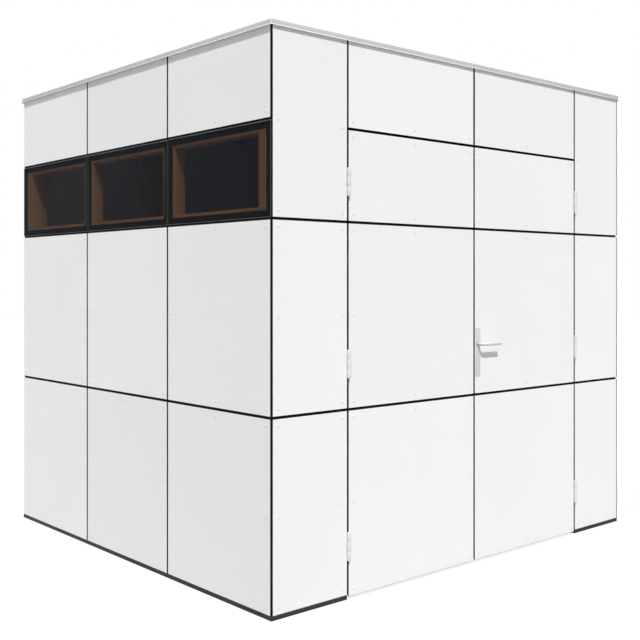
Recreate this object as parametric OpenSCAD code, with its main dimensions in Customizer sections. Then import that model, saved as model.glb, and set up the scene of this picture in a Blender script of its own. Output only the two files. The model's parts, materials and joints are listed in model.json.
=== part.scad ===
// Flat-roofed cube garden shed: a timber frame clad in laminate panels with open joints,
// a double door in the front wall and a band of tinted panes in the left wall.
// Millimetres. X runs along the front, Y to the back, Z up. The origin is on the ground
// at the centre of the plan. The front faces -Y and the panes face -X.

/* [Overall] */
// Width of the shed over the side panels
shed_width = 2500; // [2300:10:3400]
// Depth of the shed over the front and back panels
shed_depth = 2500; // [2000:10:3600]
// Columns of panels on the side and back walls
wall_columns = 3; // [2:1:4]

/* [Panels] */
// Thickness of a cladding panel
panel_thickness = 6; // [6:1:12]
// Width of the open joint between two fixed panels
panel_joint = 10; // [6:1:14]
// Distance that two panels keep from each other where they meet at a corner of the shed
corner_joint = 0.5; // [0.5:0.5:10]
// Gap between the dark base strip and the underside of the fixed panels
panel_strip_gap = 0; // [0:1:20]
// Gap between the top of the panels and the top of the roof trim
panel_top_gap = 6; // [4:1:12]
// Height of the lowest level joint above the ground
lower_joint_height = 844; // [700:1:1000]
// Height of the middle row of panels, from joint to joint
middle_row_height = 833; // [700:1:1000]
// Height of the row of panes, from joint to joint
pane_row_height = 415; // [250:1:600]
// Height of the top row of panels, from its joint to the top of the roof trim
top_row_height = 412; // [300:1:600]
// Thickness of a tinted pane
pane_thickness = 6; // [5:1:8]

/* [Joint tape] */
// Thickness of the black tape behind the joints
tape_thickness = 1; // [0.5:0.5:3]
// Width of the black tape behind the joints
tape_width = 72; // [40:1:90]

/* [Timber frame] */
// Depth of the wall timbers, from outside to inside
timber_depth = 60; // [45:1:90]
// Width of the wall timbers across their outer face
timber_face = 100; // [90:1:120]
// Side of a square corner post
corner_post_side = 95; // [90:1:140]
// Height of the dark strip that the frame stands on
base_strip_height = 20; // [10:1:40]
// Distance from the face of the panels to the face of the dark strip
base_strip_inset = 0.5; // [0.5:0.5:15]
// Width of the door stop that stands out from the frame into the doorway
stop_reach = 30; // [20:1:45]
// Thickness of the door stops
stop_thickness = 20; // [12:1:30]

/* [Floor] */
// Height of a floor bearer
bearer_height = 62; // [45:1:90]
// Width of a floor bearer
bearer_width = 45; // [35:1:70]
// Bearers on each side of the middle one
bearers_each_side = 2; // [1:1:4]
// Thickness of the floor deck
floor_thickness = 18; // [15:1:28]

/* [Roof] */
// Thickness of the roof deck
deck_thickness = 18; // [15:1:28]
// Thickness of the roof membrane
membrane_thickness = 2; // [1:0.5:4]
// Number of roof joists
joist_count = 3; // [2:1:6]
// Width of a roof joist
joist_width = 60; // [45:1:90]
// Height of a roof joist
joist_height = 100; // [80:1:160]
// Thickness of the sheet that the trim is folded from
trim_sheet = 2; // [1:0.5:3]
// Height of the trim from its top to the end of its drip lip
trim_height = 24; // [18:1:60]
// Width of the trim's flange on the roof, from the panels inwards
trim_flange = 70; // [50:1:120]
// Distance from the panels to the outer face of the trim
trim_stand_off = 6; // [4:1:15]
// Distance that the drip lip reaches beyond the face of the trim
lip_reach = 6; // [3:1:14]
// Height of the sloping drip lip
lip_drop = 5; // [3:1:10]

/* [Doors] */
// Width of a door leaf
leaf_width = 825; // [700:1:900]
// Gap round the door leaves at their sides
door_gap = 8; // [6:1:10]
// Height of the underside of the door leaves above the ground
door_ground_gap = 12; // [8:1:30]
// Depth of the timber frame inside a door leaf
leaf_frame_depth = 35; // [28:1:45]
// Width of the timbers inside a door leaf
leaf_timber_face = 80; // [70:1:110]
// Distance from the edge of a leaf's panels to its timber frame
leaf_frame_inset = 6; // [4:1:12]
// Gap between a closed door leaf and what it closes against
stop_gap = 6; // [5:1:10]

/* [Hinges] */
// Diameter of a hinge barrel
hinge_diameter = 16; // [14:1:24]
// Length of a whole hinge barrel
hinge_length = 126; // [90:1:160]
// Gap between a hinge barrel and the face of the panels
hinge_stand_off = 1.5; // [1:0.5:6]
// Diameter of a hinge pin
hinge_pin_diameter = 8; // [6:1:10]
// Radial play of a hinge pin in its moving barrel
hinge_pin_play = 0.1; // [0.05:0.05:0.3]
// Gap between the fixed and the moving barrels of a hinge
hinge_end_play = 0.5; // [0.5:0.5:3]
// Height of the middle of the lowest hinge
lowest_hinge_height = 237; // [200:1:320]
// Distance from the top of a leaf to the middle of its highest hinge
top_hinge_drop = 231; // [120:1:400]
// Number of hinges on a leaf
hinge_count = 3; // [2:1:5]

/* [Door handle] */
// Height of the handle's spindle above the lowest level joint
spindle_rise = 254; // [180:1:320]
// Distance of the spindle from the edge of its leaf
spindle_inset = 23; // [20:1:40]
// Diameter of the spindle
spindle_diameter = 9; // [7:1:11]
// Radial clearance of the spindle in the door leaf
spindle_clearance = 2; // [1:0.5:4]
// Width of a handle plate
plate_width = 35; // [26:1:40]
// Height of a handle plate
plate_height = 244; // [200:1:260]
// Thickness of a handle plate
plate_thickness = 2; // [2:1:10]
// Height of the upper end of a handle plate above the spindle
plate_rise = 80; // [60:1:120]
// Diameter of the lever's round bar
lever_diameter = 18; // [16:1:22]
// Radial play of the lever in its handle plate
lever_play = 0.2; // [0.1:0.1:0.5]
// Length of the lever from the spindle to its free end
lever_length = 130; // [100:1:150]
// Distance from the door to the middle of the lever's bar
lever_reach = 46; // [36:1:60]
// Radius of the lever's bend, at the middle of its bar
lever_bend = 20; // [14:1:24]

/* [Hidden] */
$fn = 48;

panel_white = [0.94, 0.94, 0.93];
tape_black = [0.08, 0.08, 0.08];
timber_brown = [0.72, 0.53, 0.33];
board_brown = [0.66, 0.5, 0.34];
strip_grey = [0.2, 0.2, 0.21];
trim_grey = [0.78, 0.8, 0.82];
roof_grey = [0.23, 0.24, 0.25];
pane_tint = [0.15, 0.16, 0.17, 0.6];
hinge_white = [0.88, 0.89, 0.88];
handle_grey = [0.78, 0.78, 0.82];

// A wall is [turn about Z, distance of its face from the origin, half its length]. Along a
// wall, positions run from left to right as seen from outside, and depths run inwards.
FRONT = [0, shed_depth / 2, shed_width / 2];
BACK = [180, shed_depth / 2, shed_width / 2];
LEFT = [-90, shed_width / 2, shed_depth / 2];
RIGHT = [90, shed_width / 2, shed_depth / 2];
LONG_WALLS = [FRONT, BACK];
SIDE_WALLS = [LEFT, RIGHT];
WALLS = [FRONT, BACK, LEFT, RIGHT];

cut_margin = 1;
middle_joint_height = lower_joint_height + middle_row_height;
upper_joint_height = middle_joint_height + pane_row_height;
shed_height = upper_joint_height + top_row_height;
frame_depth = panel_thickness + tape_thickness;
frame_back = frame_depth + timber_depth;
half_joint = panel_joint / 2;
leaf_pitch = leaf_width + door_gap;
opening_half = leaf_pitch + door_gap / 2;
opening_top = upper_joint_height + half_joint;
leaf_top = upper_joint_height - half_joint;
panel_top = shed_height - panel_top_gap;
membrane_top = shed_height - trim_sheet;
deck_top = membrane_top - membrane_thickness;
frame_top = deck_top - deck_thickness;
corner_setback = panel_thickness + corner_joint;
panel_bottom = base_strip_height + panel_strip_gap;
leaf_back = frame_depth + leaf_frame_depth;
stop_front = leaf_back + stop_gap;
floor_top = bearer_height + floor_thickness;
inner_x = shed_width / 2 - frame_back;
inner_y = shed_depth / 2 - frame_back;
post_inner_y = shed_depth / 2 - frame_depth - corner_post_side;
head_stop_top = opening_top;
head_stop_bottom = head_stop_top - stop_reach;

function wall_joints(wall) = [
    for (i = [1 : wall_columns - 1]) 2 * wall[2] * i / wall_columns - wall[2]
];
// Spans left between cuts of a given width, from one end position to the other.
function spans(low, cuts, high, cut_width) =
    let (edges = concat([low - cut_width / 2], cuts, [high + cut_width / 2]))
    [for (i = [0 : len(edges) - 2]) [edges[i] + cut_width / 2, edges[i + 1] - cut_width / 2]];

// Where the posts of a wall leave room for rails.
function post_gap_end(wall) = wall[2] - frame_depth - corner_post_side;
function plain_bays(wall) =
    spans(-post_gap_end(wall), wall_joints(wall), post_gap_end(wall), timber_face);
jamb_post_end = opening_half + timber_face;
front_side_bays = [
    [-post_gap_end(FRONT), -jamb_post_end],
    [jamb_post_end, post_gap_end(FRONT)]
];
doorway_bay = [-opening_half, opening_half];

// A box on a wall: spans along the wall, inwards from its face, and in height.
module wall_box(wall, along, depth, height) {
    rotate([0, 0, wall[0]])
        translate([along[0], depth[0] - wall[1], height[0]])
            cube([along[1] - along[0], depth[1] - depth[0], height[1] - height[0]]);
}

module wall_timber(wall, along, height) {
    wall_box(wall, along, [frame_depth, frame_back], height);
}

module wall_panel(wall, along, height) {
    wall_box(wall, along, [0, panel_thickness], height);
}

module wall_tape(wall, along, height) {
    wall_box(wall, along, [panel_thickness, frame_depth], height);
}

// ---- Base ----

module front_back_base_strips() {
    end = shed_width / 2 - base_strip_inset;
    strip_depth = [base_strip_inset, frame_back];
    color(strip_grey) {
        wall_box(FRONT, [-end, -opening_half], strip_depth, [0, base_strip_height]);
        wall_box(FRONT, [opening_half, end], strip_depth, [0, base_strip_height]);
        wall_box(BACK, [-end, end], strip_depth, [0, base_strip_height]);
    }
}

module side_base_strips() {
    end = shed_depth / 2 - frame_back;
    color(strip_grey)
        for (wall = SIDE_WALLS)
            wall_box(wall, [-end, end], [base_strip_inset, frame_back], [0, base_strip_height]);
}

// ---- Timber frame ----

module corner_posts() {
    place_x = shed_width / 2 - frame_depth - corner_post_side;
    color(timber_brown)
        for (side = [0, 1], end = [0, 1])
            mirror([side, 0, 0])
                mirror([0, end, 0])
                    translate([place_x, post_inner_y, base_strip_height])
                        cube([corner_post_side, corner_post_side, frame_top - base_strip_height]);
}

module wall_posts() {
    half_face = timber_face / 2;
    full_height = [base_strip_height, frame_top];
    color(timber_brown) {
        for (wall = [BACK, LEFT, RIGHT], joint = wall_joints(wall))
            wall_timber(wall, [joint - half_face, joint + half_face], full_height);
        wall_timber(FRONT, [-jamb_post_end, -opening_half], full_height);
        wall_timber(FRONT, [opening_half, jamb_post_end], full_height);
        wall_timber(FRONT, [-half_face, half_face],
            [opening_top + timber_face, frame_top - timber_face]);
    }
}

module bottom_rails() {
    height = [base_strip_height, base_strip_height + timber_face];
    color(timber_brown) {
        for (wall = [BACK, LEFT, RIGHT], bay = plain_bays(wall))
            wall_timber(wall, bay, height);
        for (bay = front_side_bays)
            wall_timber(FRONT, bay, height);
    }
}

module wall_rails() {
    half_face = timber_face / 2;
    color(timber_brown) {
        for (level = [lower_joint_height, middle_joint_height]) {
            for (wall = [BACK, LEFT, RIGHT], bay = plain_bays(wall))
                wall_timber(wall, bay, [level - half_face, level + half_face]);
            for (bay = front_side_bays)
                wall_timber(FRONT, bay, [level - half_face, level + half_face]);
        }
        for (bay = plain_bays(LEFT))
            wall_timber(LEFT, bay,
                [upper_joint_height - half_face, upper_joint_height + half_face]);
        wall_timber(FRONT, doorway_bay, [opening_top, opening_top + timber_face]);
    }
}

module top_rails() {
    height = [frame_top - timber_face, frame_top];
    color(timber_brown) {
        for (wall = [BACK, LEFT, RIGHT], bay = plain_bays(wall))
            wall_timber(wall, bay, height);
        for (bay = concat(front_side_bays, [doorway_bay]))
            wall_timber(FRONT, bay, height);
    }
}

// ---- Doorway ----

module jamb_stops() {
    color(timber_brown)
        for (side = [-1, 1])
            wall_box(FRONT,
                [min(side * opening_half, side * (opening_half - stop_reach)),
                 max(side * opening_half, side * (opening_half - stop_reach))],
                [stop_front, stop_front + stop_thickness],
                [floor_top, head_stop_bottom]);
}

module head_stop() {
    color(timber_brown)
        wall_box(FRONT, doorway_bay, [stop_front, stop_front + stop_thickness],
            [head_stop_bottom, head_stop_top]);
}

module threshold() {
    color(timber_brown)
        wall_box(FRONT, doorway_bay, [stop_front, frame_back], [0, floor_top]);
}

// ---- Floor ----

module floor_bearers() {
    spacing = (post_inner_y - bearer_width / 2) / bearers_each_side;
    color(timber_brown)
        for (i = [-bearers_each_side : bearers_each_side])
            translate([-inner_x, i * spacing - bearer_width / 2, 0])
                cube([2 * inner_x, bearer_width, bearer_height]);
}

module floor_deck() {
    color(board_brown)
        difference() {
            translate([-inner_x, -inner_y, bearer_height])
                cube([2 * inner_x, 2 * inner_y, floor_thickness]);
            corner_posts();
        }
}

// ---- Roof ----

module roof_joists() {
    pitch = 2 * inner_x / (joist_count + 1);
    color(timber_brown)
        for (i = [1 : joist_count])
            translate([i * pitch - inner_x - joist_width / 2, -inner_y, frame_top - joist_height])
                cube([joist_width, 2 * inner_y, joist_height]);
}

module roof_sheet(bottom, thickness) {
    half_x = shed_width / 2 - frame_depth;
    half_y = shed_depth / 2 - frame_depth;
    translate([-half_x, -half_y, bottom])
        cube([2 * half_x, 2 * half_y, thickness]);
}

module roof_deck() {
    color(board_brown) roof_sheet(frame_top, deck_thickness);
}

module roof_membrane() {
    color(roof_grey) roof_sheet(deck_top, membrane_thickness);
}

// Section of the trim: positions outwards from the panels, and heights from the trim's top.
trim_section = [
    [-trim_flange, 0],
    [trim_stand_off, 0],
    [trim_stand_off, lip_drop - trim_height],
    [trim_stand_off + lip_reach, -trim_height],
    [trim_stand_off + lip_reach - trim_sheet, -trim_height],
    [trim_stand_off - trim_sheet, lip_drop - trim_height],
    [trim_stand_off - trim_sheet, -trim_sheet],
    [-trim_flange, -trim_sheet]
];

// A length of trim along one wall, cut to a mitre at both corners.
module trim(wall) {
    tip = trim_stand_off + lip_reach;
    outer = wall[1] + tip;
    outer_half = wall[2] + tip;
    inner = wall[1] - trim_flange;
    inner_half = wall[2] - trim_flange;
    color(trim_grey)
        rotate([0, 0, wall[0]])
            intersection() {
                translate([-outer_half, 0, shed_height])
                    rotate([90, 0, 90])
                        linear_extrude(2 * outer_half)
                            polygon([for (p = trim_section) [-wall[1] - p[0], p[1]]]);
                translate([0, 0, shed_height - trim_height])
                    linear_extrude(trim_height)
                        polygon([[-outer_half, -outer], [outer_half, -outer],
                            [inner_half, -inner], [-inner_half, -inner]]);
            }
}

module front_trim() { trim(FRONT); }
module back_trim() { trim(BACK); }
module left_trim() { trim(LEFT); }
module right_trim() { trim(RIGHT); }

// ---- Cladding ----

plain_rows = spans(panel_bottom, [lower_joint_height, middle_joint_height], panel_top,
    panel_joint);
window_rows = spans(panel_bottom,
    [lower_joint_height, middle_joint_height, upper_joint_height], panel_top, panel_joint);
pane_row = 2;
left_columns = spans(corner_setback - LEFT[2], wall_joints(LEFT), LEFT[2] - corner_setback,
    panel_joint);
// The panels of the right wall run on to the front, where their cut edges show.
right_columns = spans(-RIGHT[2], wall_joints(RIGHT), RIGHT[2] - corner_setback, panel_joint);
back_columns = spans(corner_setback - BACK[2], wall_joints(BACK), BACK[2] - corner_setback,
    panel_joint);

module front_panels() {
    color(panel_white) {
        for (row = plain_rows, side = [0, 1])
            mirror([side, 0, 0])
                wall_panel(FRONT, [opening_half, FRONT[2] - corner_setback], row);
        for (side = [0, 1])
            mirror([side, 0, 0])
                wall_panel(FRONT, [half_joint, opening_half - door_gap],
                    [opening_top, panel_top]);
    }
}

module back_panels() {
    color(panel_white)
        for (row = plain_rows, column = back_columns)
            wall_panel(BACK, column, row);
}

module left_panels() {
    color(panel_white)
        for (i = [0 : len(window_rows) - 1], column = left_columns)
            if (i != pane_row)
                wall_panel(LEFT, column, window_rows[i]);
}

module right_panels() {
    color(panel_white)
        for (row = plain_rows, column = right_columns)
            wall_panel(RIGHT, column, row);
}

module window_panes() {
    color(pane_tint)
        for (column = left_columns)
            wall_box(LEFT, column, [panel_thickness - pane_thickness, panel_thickness],
                window_rows[pane_row]);
}

// ---- Joint tape ----

module post_tape() {
    half_tape = tape_width / 2;
    height = [base_strip_height, frame_top];
    color(tape_black) {
        for (wall = [BACK, LEFT, RIGHT], joint = wall_joints(wall))
            wall_tape(wall, [joint - half_tape, joint + half_tape], height);
        for (side = [0, 1])
            mirror([side, 0, 0])
                wall_tape(FRONT, [opening_half, opening_half + half_tape], height);
        wall_tape(FRONT, [-half_tape, half_tape],
            [opening_top + half_tape, frame_top - half_tape]);
        for (wall = LONG_WALLS, side = [0, 1])
            mirror([side, 0, 0])
                wall_tape(wall,
                    [wall[2] - frame_depth - half_tape, wall[2] - panel_thickness], height);
        for (wall = SIDE_WALLS, side = [0, 1])
            mirror([0, side, 0])
                wall_tape(wall,
                    [wall[2] - frame_depth - half_tape, wall[2] - frame_depth], height);
    }
}

module rail_tape() {
    half_tape = tape_width / 2;
    bottom_edge = [base_strip_height, base_strip_height + half_tape];
    top_edge = [frame_top - half_tape, frame_top];
    lower = [lower_joint_height - half_tape, lower_joint_height + half_tape];
    middle = [middle_joint_height - half_tape, middle_joint_height + half_tape];
    upper = [upper_joint_height - half_tape, upper_joint_height + half_tape];
    jamb_tape_end = opening_half + half_tape;
    color(tape_black) {
        for (wall = [BACK, LEFT, RIGHT], height = [bottom_edge, lower, middle, top_edge])
            for (bay = tape_bays(wall))
                wall_tape(wall, bay, height);
        for (bay = tape_bays(LEFT))
            wall_tape(LEFT, bay, upper);
        for (height = [bottom_edge, lower, middle, top_edge], side = [0, 1])
            mirror([side, 0, 0])
                wall_tape(FRONT, [jamb_tape_end, tape_gap_end(FRONT)], height);
        wall_tape(FRONT, doorway_bay, [opening_top, opening_top + half_tape]);
        wall_tape(FRONT, doorway_bay, top_edge);
    }
}

function tape_gap_end(wall) = wall[2] - frame_depth - tape_width / 2;
function tape_bays(wall) =
    spans(-tape_gap_end(wall), wall_joints(wall), tape_gap_end(wall), tape_width);

// ---- Door leaves ----
// A leaf is drawn as the right one, with its hinges towards +X, and mirrored for the left.

leaf_low = door_gap / 2;
leaf_high = leaf_low + leaf_width;
leaf_frame_low = leaf_low + leaf_frame_inset;
leaf_frame_high = leaf_high - leaf_frame_inset;
leaf_frame_bottom = door_ground_gap + leaf_frame_inset;
leaf_frame_top = leaf_top - leaf_frame_inset;
leaf_rows = spans(door_ground_gap, [lower_joint_height, middle_joint_height], leaf_top,
    panel_joint);
hinge_axis_x = leaf_pitch;
hinge_axis_y = -shed_depth / 2 - hinge_stand_off - hinge_diameter / 2;
spindle_x = leaf_low + spindle_inset;
spindle_height = lower_joint_height + spindle_rise;
leaf_rail_heights = [
    [leaf_frame_bottom, leaf_frame_bottom + leaf_timber_face],
    [lower_joint_height - leaf_timber_face / 2, lower_joint_height + leaf_timber_face / 2],
    [middle_joint_height - leaf_timber_face / 2, middle_joint_height + leaf_timber_face / 2],
    [leaf_frame_top - leaf_timber_face, leaf_frame_top]
];

// A round piece along Y on the spindle's axis, from one depth to another.
module on_spindle(diameter, depth) {
    translate([spindle_x, depth[0] - shed_depth / 2, spindle_height])
        rotate([-90, 0, 0])
            cylinder(d = diameter, h = depth[1] - depth[0]);
}

module spindle_hole() {
    on_spindle(spindle_diameter + 2 * spindle_clearance,
        [-cut_margin, leaf_back + cut_margin]);
}

module leaf_panels() {
    for (row = leaf_rows)
        wall_panel(FRONT, [leaf_low, leaf_high], row);
}

module leaf_stiles() {
    height = [leaf_frame_bottom, leaf_frame_top];
    depth = [frame_depth, leaf_back];
    wall_box(FRONT, [leaf_frame_low, leaf_frame_low + leaf_timber_face], depth, height);
    wall_box(FRONT, [leaf_frame_high - leaf_timber_face, leaf_frame_high], depth, height);
}

module leaf_rails() {
    along = [leaf_frame_low + leaf_timber_face, leaf_frame_high - leaf_timber_face];
    for (height = leaf_rail_heights)
        wall_box(FRONT, along, [frame_depth, leaf_back], height);
}

module leaf_tape() {
    for (height = leaf_rail_heights)
        wall_tape(FRONT, [leaf_frame_low, leaf_frame_high], height);
}

module left_door_panels() { color(panel_white) mirror([1, 0, 0]) leaf_panels(); }
module left_door_stiles() { color(timber_brown) mirror([1, 0, 0]) leaf_stiles(); }
module left_door_rails() { color(timber_brown) mirror([1, 0, 0]) leaf_rails(); }
module left_door_tape() { color(tape_black) mirror([1, 0, 0]) leaf_tape(); }
module left_door_hinges() { color(hinge_white) mirror([1, 0, 0]) leaf_hinges(); }

module right_door_panels() {
    color(panel_white)
        difference() {
            leaf_panels();
            spindle_hole();
        }
}

module right_door_stiles() {
    color(timber_brown)
        difference() {
            leaf_stiles();
            spindle_hole();
        }
}

module right_door_rails() { color(timber_brown) leaf_rails(); }
module right_door_tape() { color(tape_black) leaf_tape(); }
module right_door_hinges() { color(hinge_white) leaf_hinges(); }

// ---- Hinges ----
// Each hinge has a fixed barrel at its top and bottom, joined by the pin, and a moving
// barrel between them on the door leaf.

barrel_length = (hinge_length - 2 * hinge_end_play) / 3;
hinge_pitch = (leaf_top - top_hinge_drop - lowest_hinge_height) / (hinge_count - 1);
hinge_heights = [for (i = [0 : hinge_count - 1]) lowest_hinge_height + i * hinge_pitch];

// A barrel on the right-hand hinge axis, with a foot on the panel at one side of it.
module barrel(bottom, side) {
    foot_start = door_gap / 2;
    foot_end = hinge_diameter / 2;
    foot_low = min(side * foot_start, side * foot_end);
    translate([hinge_axis_x, hinge_axis_y, bottom]) {
        cylinder(d = hinge_diameter, h = barrel_length);
        translate([foot_low, 0, 0])
            cube([foot_end - foot_start, -shed_depth / 2 - hinge_axis_y, barrel_length]);
    }
}

module leaf_hinges() {
    for (height = hinge_heights)
        difference() {
            barrel(height - barrel_length / 2, -1);
            translate([hinge_axis_x, hinge_axis_y, height - hinge_length / 2])
                cylinder(d = hinge_pin_diameter + 2 * hinge_pin_play, h = hinge_length);
        }
}

module hinge_brackets() {
    color(hinge_white)
        for (side = [0, 1], height = hinge_heights)
            mirror([side, 0, 0]) {
                barrel(height - hinge_length / 2, 1);
                barrel(height + hinge_length / 2 - barrel_length, 1);
                translate([hinge_axis_x, hinge_axis_y, height - hinge_length / 2])
                    cylinder(d = hinge_pin_diameter, h = hinge_length);
            }
}

// ---- Door handle ----

module handle_plate(depth) {
    color(handle_grey)
        difference() {
            wall_box(FRONT, [spindle_x - plate_width / 2, spindle_x + plate_width / 2], depth,
                [spindle_height + plate_rise - plate_height, spindle_height + plate_rise]);
            on_spindle(lever_diameter + 2 * lever_play,
                [depth[0] - cut_margin, depth[1] + cut_margin]);
        }
}

module outer_plate() { handle_plate([-plate_thickness, 0]); }
module inner_plate() { handle_plate([leaf_back, leaf_back + plate_thickness]); }

// A round bar that stands out from the door towards -Y, bends, and runs on towards +X.
module bent_lever() {
    neck_length = lever_reach - lever_bend;
    grip_length = lever_length - lever_bend - lever_diameter / 2;
    translate([0, -lever_play, 0])
        rotate([90, 0, 0])
            cylinder(d = lever_diameter, h = neck_length - lever_play);
    translate([lever_bend, -neck_length, 0])
        rotate([0, 0, 180])
            rotate_extrude(angle = 90)
                translate([lever_bend, 0])
                    circle(d = lever_diameter);
    translate([lever_bend, -lever_reach, 0]) {
        rotate([0, 90, 0])
            cylinder(d = lever_diameter, h = grip_length);
        translate([grip_length, 0, 0])
            sphere(d = lever_diameter);
    }
}

module outer_lever() {
    color(handle_grey) {
        translate([spindle_x, -shed_depth / 2, spindle_height])
            bent_lever();
        on_spindle(spindle_diameter, [-plate_thickness, leaf_back + lever_play]);
    }
}

module inner_lever() {
    color(handle_grey)
        translate([spindle_x, leaf_back - shed_depth / 2, spindle_height])
            mirror([0, 1, 0])
                bent_lever();
}

front_back_base_strips();
side_base_strips();
corner_posts();
wall_posts();
bottom_rails();
wall_rails();
top_rails();
jamb_stops();
head_stop();
threshold();
floor_bearers();
floor_deck();
roof_joists();
roof_deck();
roof_membrane();
front_trim();
back_trim();
left_trim();
right_trim();
front_panels();
back_panels();
left_panels();
right_panels();
window_panes();
post_tape();
rail_tape();
hinge_brackets();
left_door_panels();
left_door_stiles();
left_door_rails();
left_door_tape();
left_door_hinges();
right_door_panels();
right_door_stiles();
right_door_rails();
right_door_tape();
right_door_hinges();
outer_plate();
inner_plate();
outer_lever();
inner_lever();
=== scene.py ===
"""Looks of the cube garden shed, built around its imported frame.

Metres. X runs along the front, Y to the back, Z up. The front faces -Y, the panes face -X.
"""

import json
import math
import random

import bmesh
import bpy
from mathutils import Matrix, Vector

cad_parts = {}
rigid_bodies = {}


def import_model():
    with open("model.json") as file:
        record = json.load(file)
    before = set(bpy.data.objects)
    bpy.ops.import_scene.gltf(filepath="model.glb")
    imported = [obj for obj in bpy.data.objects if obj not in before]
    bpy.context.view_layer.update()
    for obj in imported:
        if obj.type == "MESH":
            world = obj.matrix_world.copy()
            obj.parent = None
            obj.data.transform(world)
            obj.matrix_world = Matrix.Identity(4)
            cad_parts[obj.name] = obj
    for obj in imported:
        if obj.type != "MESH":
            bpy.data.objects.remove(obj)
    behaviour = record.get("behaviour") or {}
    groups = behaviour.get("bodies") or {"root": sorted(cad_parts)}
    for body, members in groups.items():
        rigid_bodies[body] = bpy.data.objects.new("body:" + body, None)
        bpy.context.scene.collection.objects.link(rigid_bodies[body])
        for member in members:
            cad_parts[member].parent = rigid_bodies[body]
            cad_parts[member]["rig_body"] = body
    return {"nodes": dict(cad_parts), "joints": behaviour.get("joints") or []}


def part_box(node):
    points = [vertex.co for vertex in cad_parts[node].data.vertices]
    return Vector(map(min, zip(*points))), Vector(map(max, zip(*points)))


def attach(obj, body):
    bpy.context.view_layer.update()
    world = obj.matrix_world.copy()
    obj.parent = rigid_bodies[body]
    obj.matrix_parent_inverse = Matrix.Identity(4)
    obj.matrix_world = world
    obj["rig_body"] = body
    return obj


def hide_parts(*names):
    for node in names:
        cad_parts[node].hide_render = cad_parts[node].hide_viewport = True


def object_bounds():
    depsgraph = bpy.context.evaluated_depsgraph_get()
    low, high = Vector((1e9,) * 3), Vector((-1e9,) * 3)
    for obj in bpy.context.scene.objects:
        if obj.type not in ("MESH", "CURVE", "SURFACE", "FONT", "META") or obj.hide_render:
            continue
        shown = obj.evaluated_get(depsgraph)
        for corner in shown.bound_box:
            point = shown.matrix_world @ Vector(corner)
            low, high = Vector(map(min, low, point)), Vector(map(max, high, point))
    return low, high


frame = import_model()
cad_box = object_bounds()
rng = random.Random(7)

MM = 0.001
WELD = 0.01 * MM

# Outward direction of each wall.
FRONT, BACK = Vector((0, -1, 0)), Vector((0, 1, 0))
LEFT, RIGHT = Vector((-1, 0, 0)), Vector((1, 0, 0))

# ---- Reading the frame ----


def islands(bm):
    """The separate solids of a mesh, each as a list of vertices."""
    left = set(bm.verts)
    found = []
    while left:
        reach = [left.pop()]
        island = []
        while reach:
            vert = reach.pop()
            island.append(vert)
            for edge in vert.link_edges:
                other = edge.other_vert(vert)
                if other in left:
                    left.remove(other)
                    reach.append(other)
        found.append(island)
    return found


def welded(node):
    """A CAD node's mesh with its faces joined along their edges."""
    bm = bmesh.new()
    bm.from_mesh(frame["nodes"][node].data)
    bmesh.ops.remove_doubles(bm, verts=bm.verts, dist=WELD)
    return bm


def corners(points):
    """Lowest and highest corner of some points."""
    points = list(points)
    low = Vector([min(p[i] for p in points) for i in range(3)])
    high = Vector([max(p[i] for p in points) for i in range(3)])
    return low, high


def solids(node):
    """Lowest and highest corner of each separate solid in a CAD node, in a steady order."""
    bm = welded(node)
    boxes = [corners(v.co for v in island) for island in islands(bm)]
    bm.free()
    return sorted(boxes, key=lambda b: tuple(round(c, 4) for c in (*b[0], *b[1])))


def body_of(node):
    return frame["nodes"][node]["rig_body"]


def joint(name):
    return next(j for j in frame["joints"] if j["name"] == name)


# ---- Mesh making ----

# Largest turn between two faces, in degrees, that is shaded as one smooth surface.
SMOOTH_METAL = 40
SMOOTH_EDGE = 50


def add_piece(name, bm, body, materials, replaces=(), smooth_angle=None):
    """Turns a bmesh into a piece that rides on a body."""
    mesh = bpy.data.meshes.new(name)
    bm.to_mesh(mesh)
    bm.free()
    for material in materials:
        mesh.materials.append(material)
    if smooth_angle is not None:
        mesh.shade_smooth()
        mesh.set_sharp_from_angle(angle=math.radians(smooth_angle))
    piece = bpy.data.objects.new(name, mesh)
    bpy.context.scene.collection.objects.link(piece)
    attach(piece, body)
    if replaces:
        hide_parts(*replaces)
    return piece


def add_box(bm, low, high, bevel, segments=1):
    """Adds a box with bevelled edges and returns its faces."""
    first = len(bm.faces)
    place = Matrix.Translation((low + high) / 2) @ Matrix.Diagonal((*(high - low), 1))
    cube = bmesh.ops.create_cube(bm, size=1, matrix=place)
    # A dict keeps the edges in the same order on each run.
    edges = list(dict.fromkeys(edge for vert in cube["verts"] for edge in vert.link_edges))
    bmesh.ops.bevel(bm, geom=edges, offset=bevel, segments=segments, profile=0.5,
                    affect="EDGES", clamp_overlap=True)
    bm.faces.ensure_lookup_table()
    return bm.faces[first:]


def add_rings(bm, rings, material=0):
    """Joins rings of points, each as long as the last, into a closed tube: sides, foot, top."""
    made = [[bm.verts.new(p) for p in ring] for ring in rings]
    count = len(made[0])
    faces = []
    for lower, upper in zip(made, made[1:]):
        for i in range(count):
            j = (i + 1) % count
            faces.append(bm.faces.new((lower[i], lower[j], upper[j], upper[i])))
    faces.append(bm.faces.new(list(reversed(made[0]))))
    faces.append(bm.faces.new(made[-1]))
    for face in faces:
        face.material_index = material
    return faces


def add_lathe(bm, place, profile, segments, material=0):
    """Turns a profile of (radius, height) about the Z axis of a place."""
    rings = []
    for radius, height in profile:
        ring = []
        for i in range(segments):
            turn = 2 * math.pi * i / segments
            ring.append(place @ Vector((radius * math.cos(turn), radius * math.sin(turn), height)))
        rings.append(ring)
    add_rings(bm, rings, material)


def add_bar(bm, outline, start, end):
    """Runs an outline of (across, out) offsets along a line, for pieces on the front's timbers."""
    along = (end - start).normalized()
    across = along.cross(FRONT)
    add_rings(bm, [[at + across * a + FRONT * o for a, o in outline] for at in (start, end)])


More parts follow.
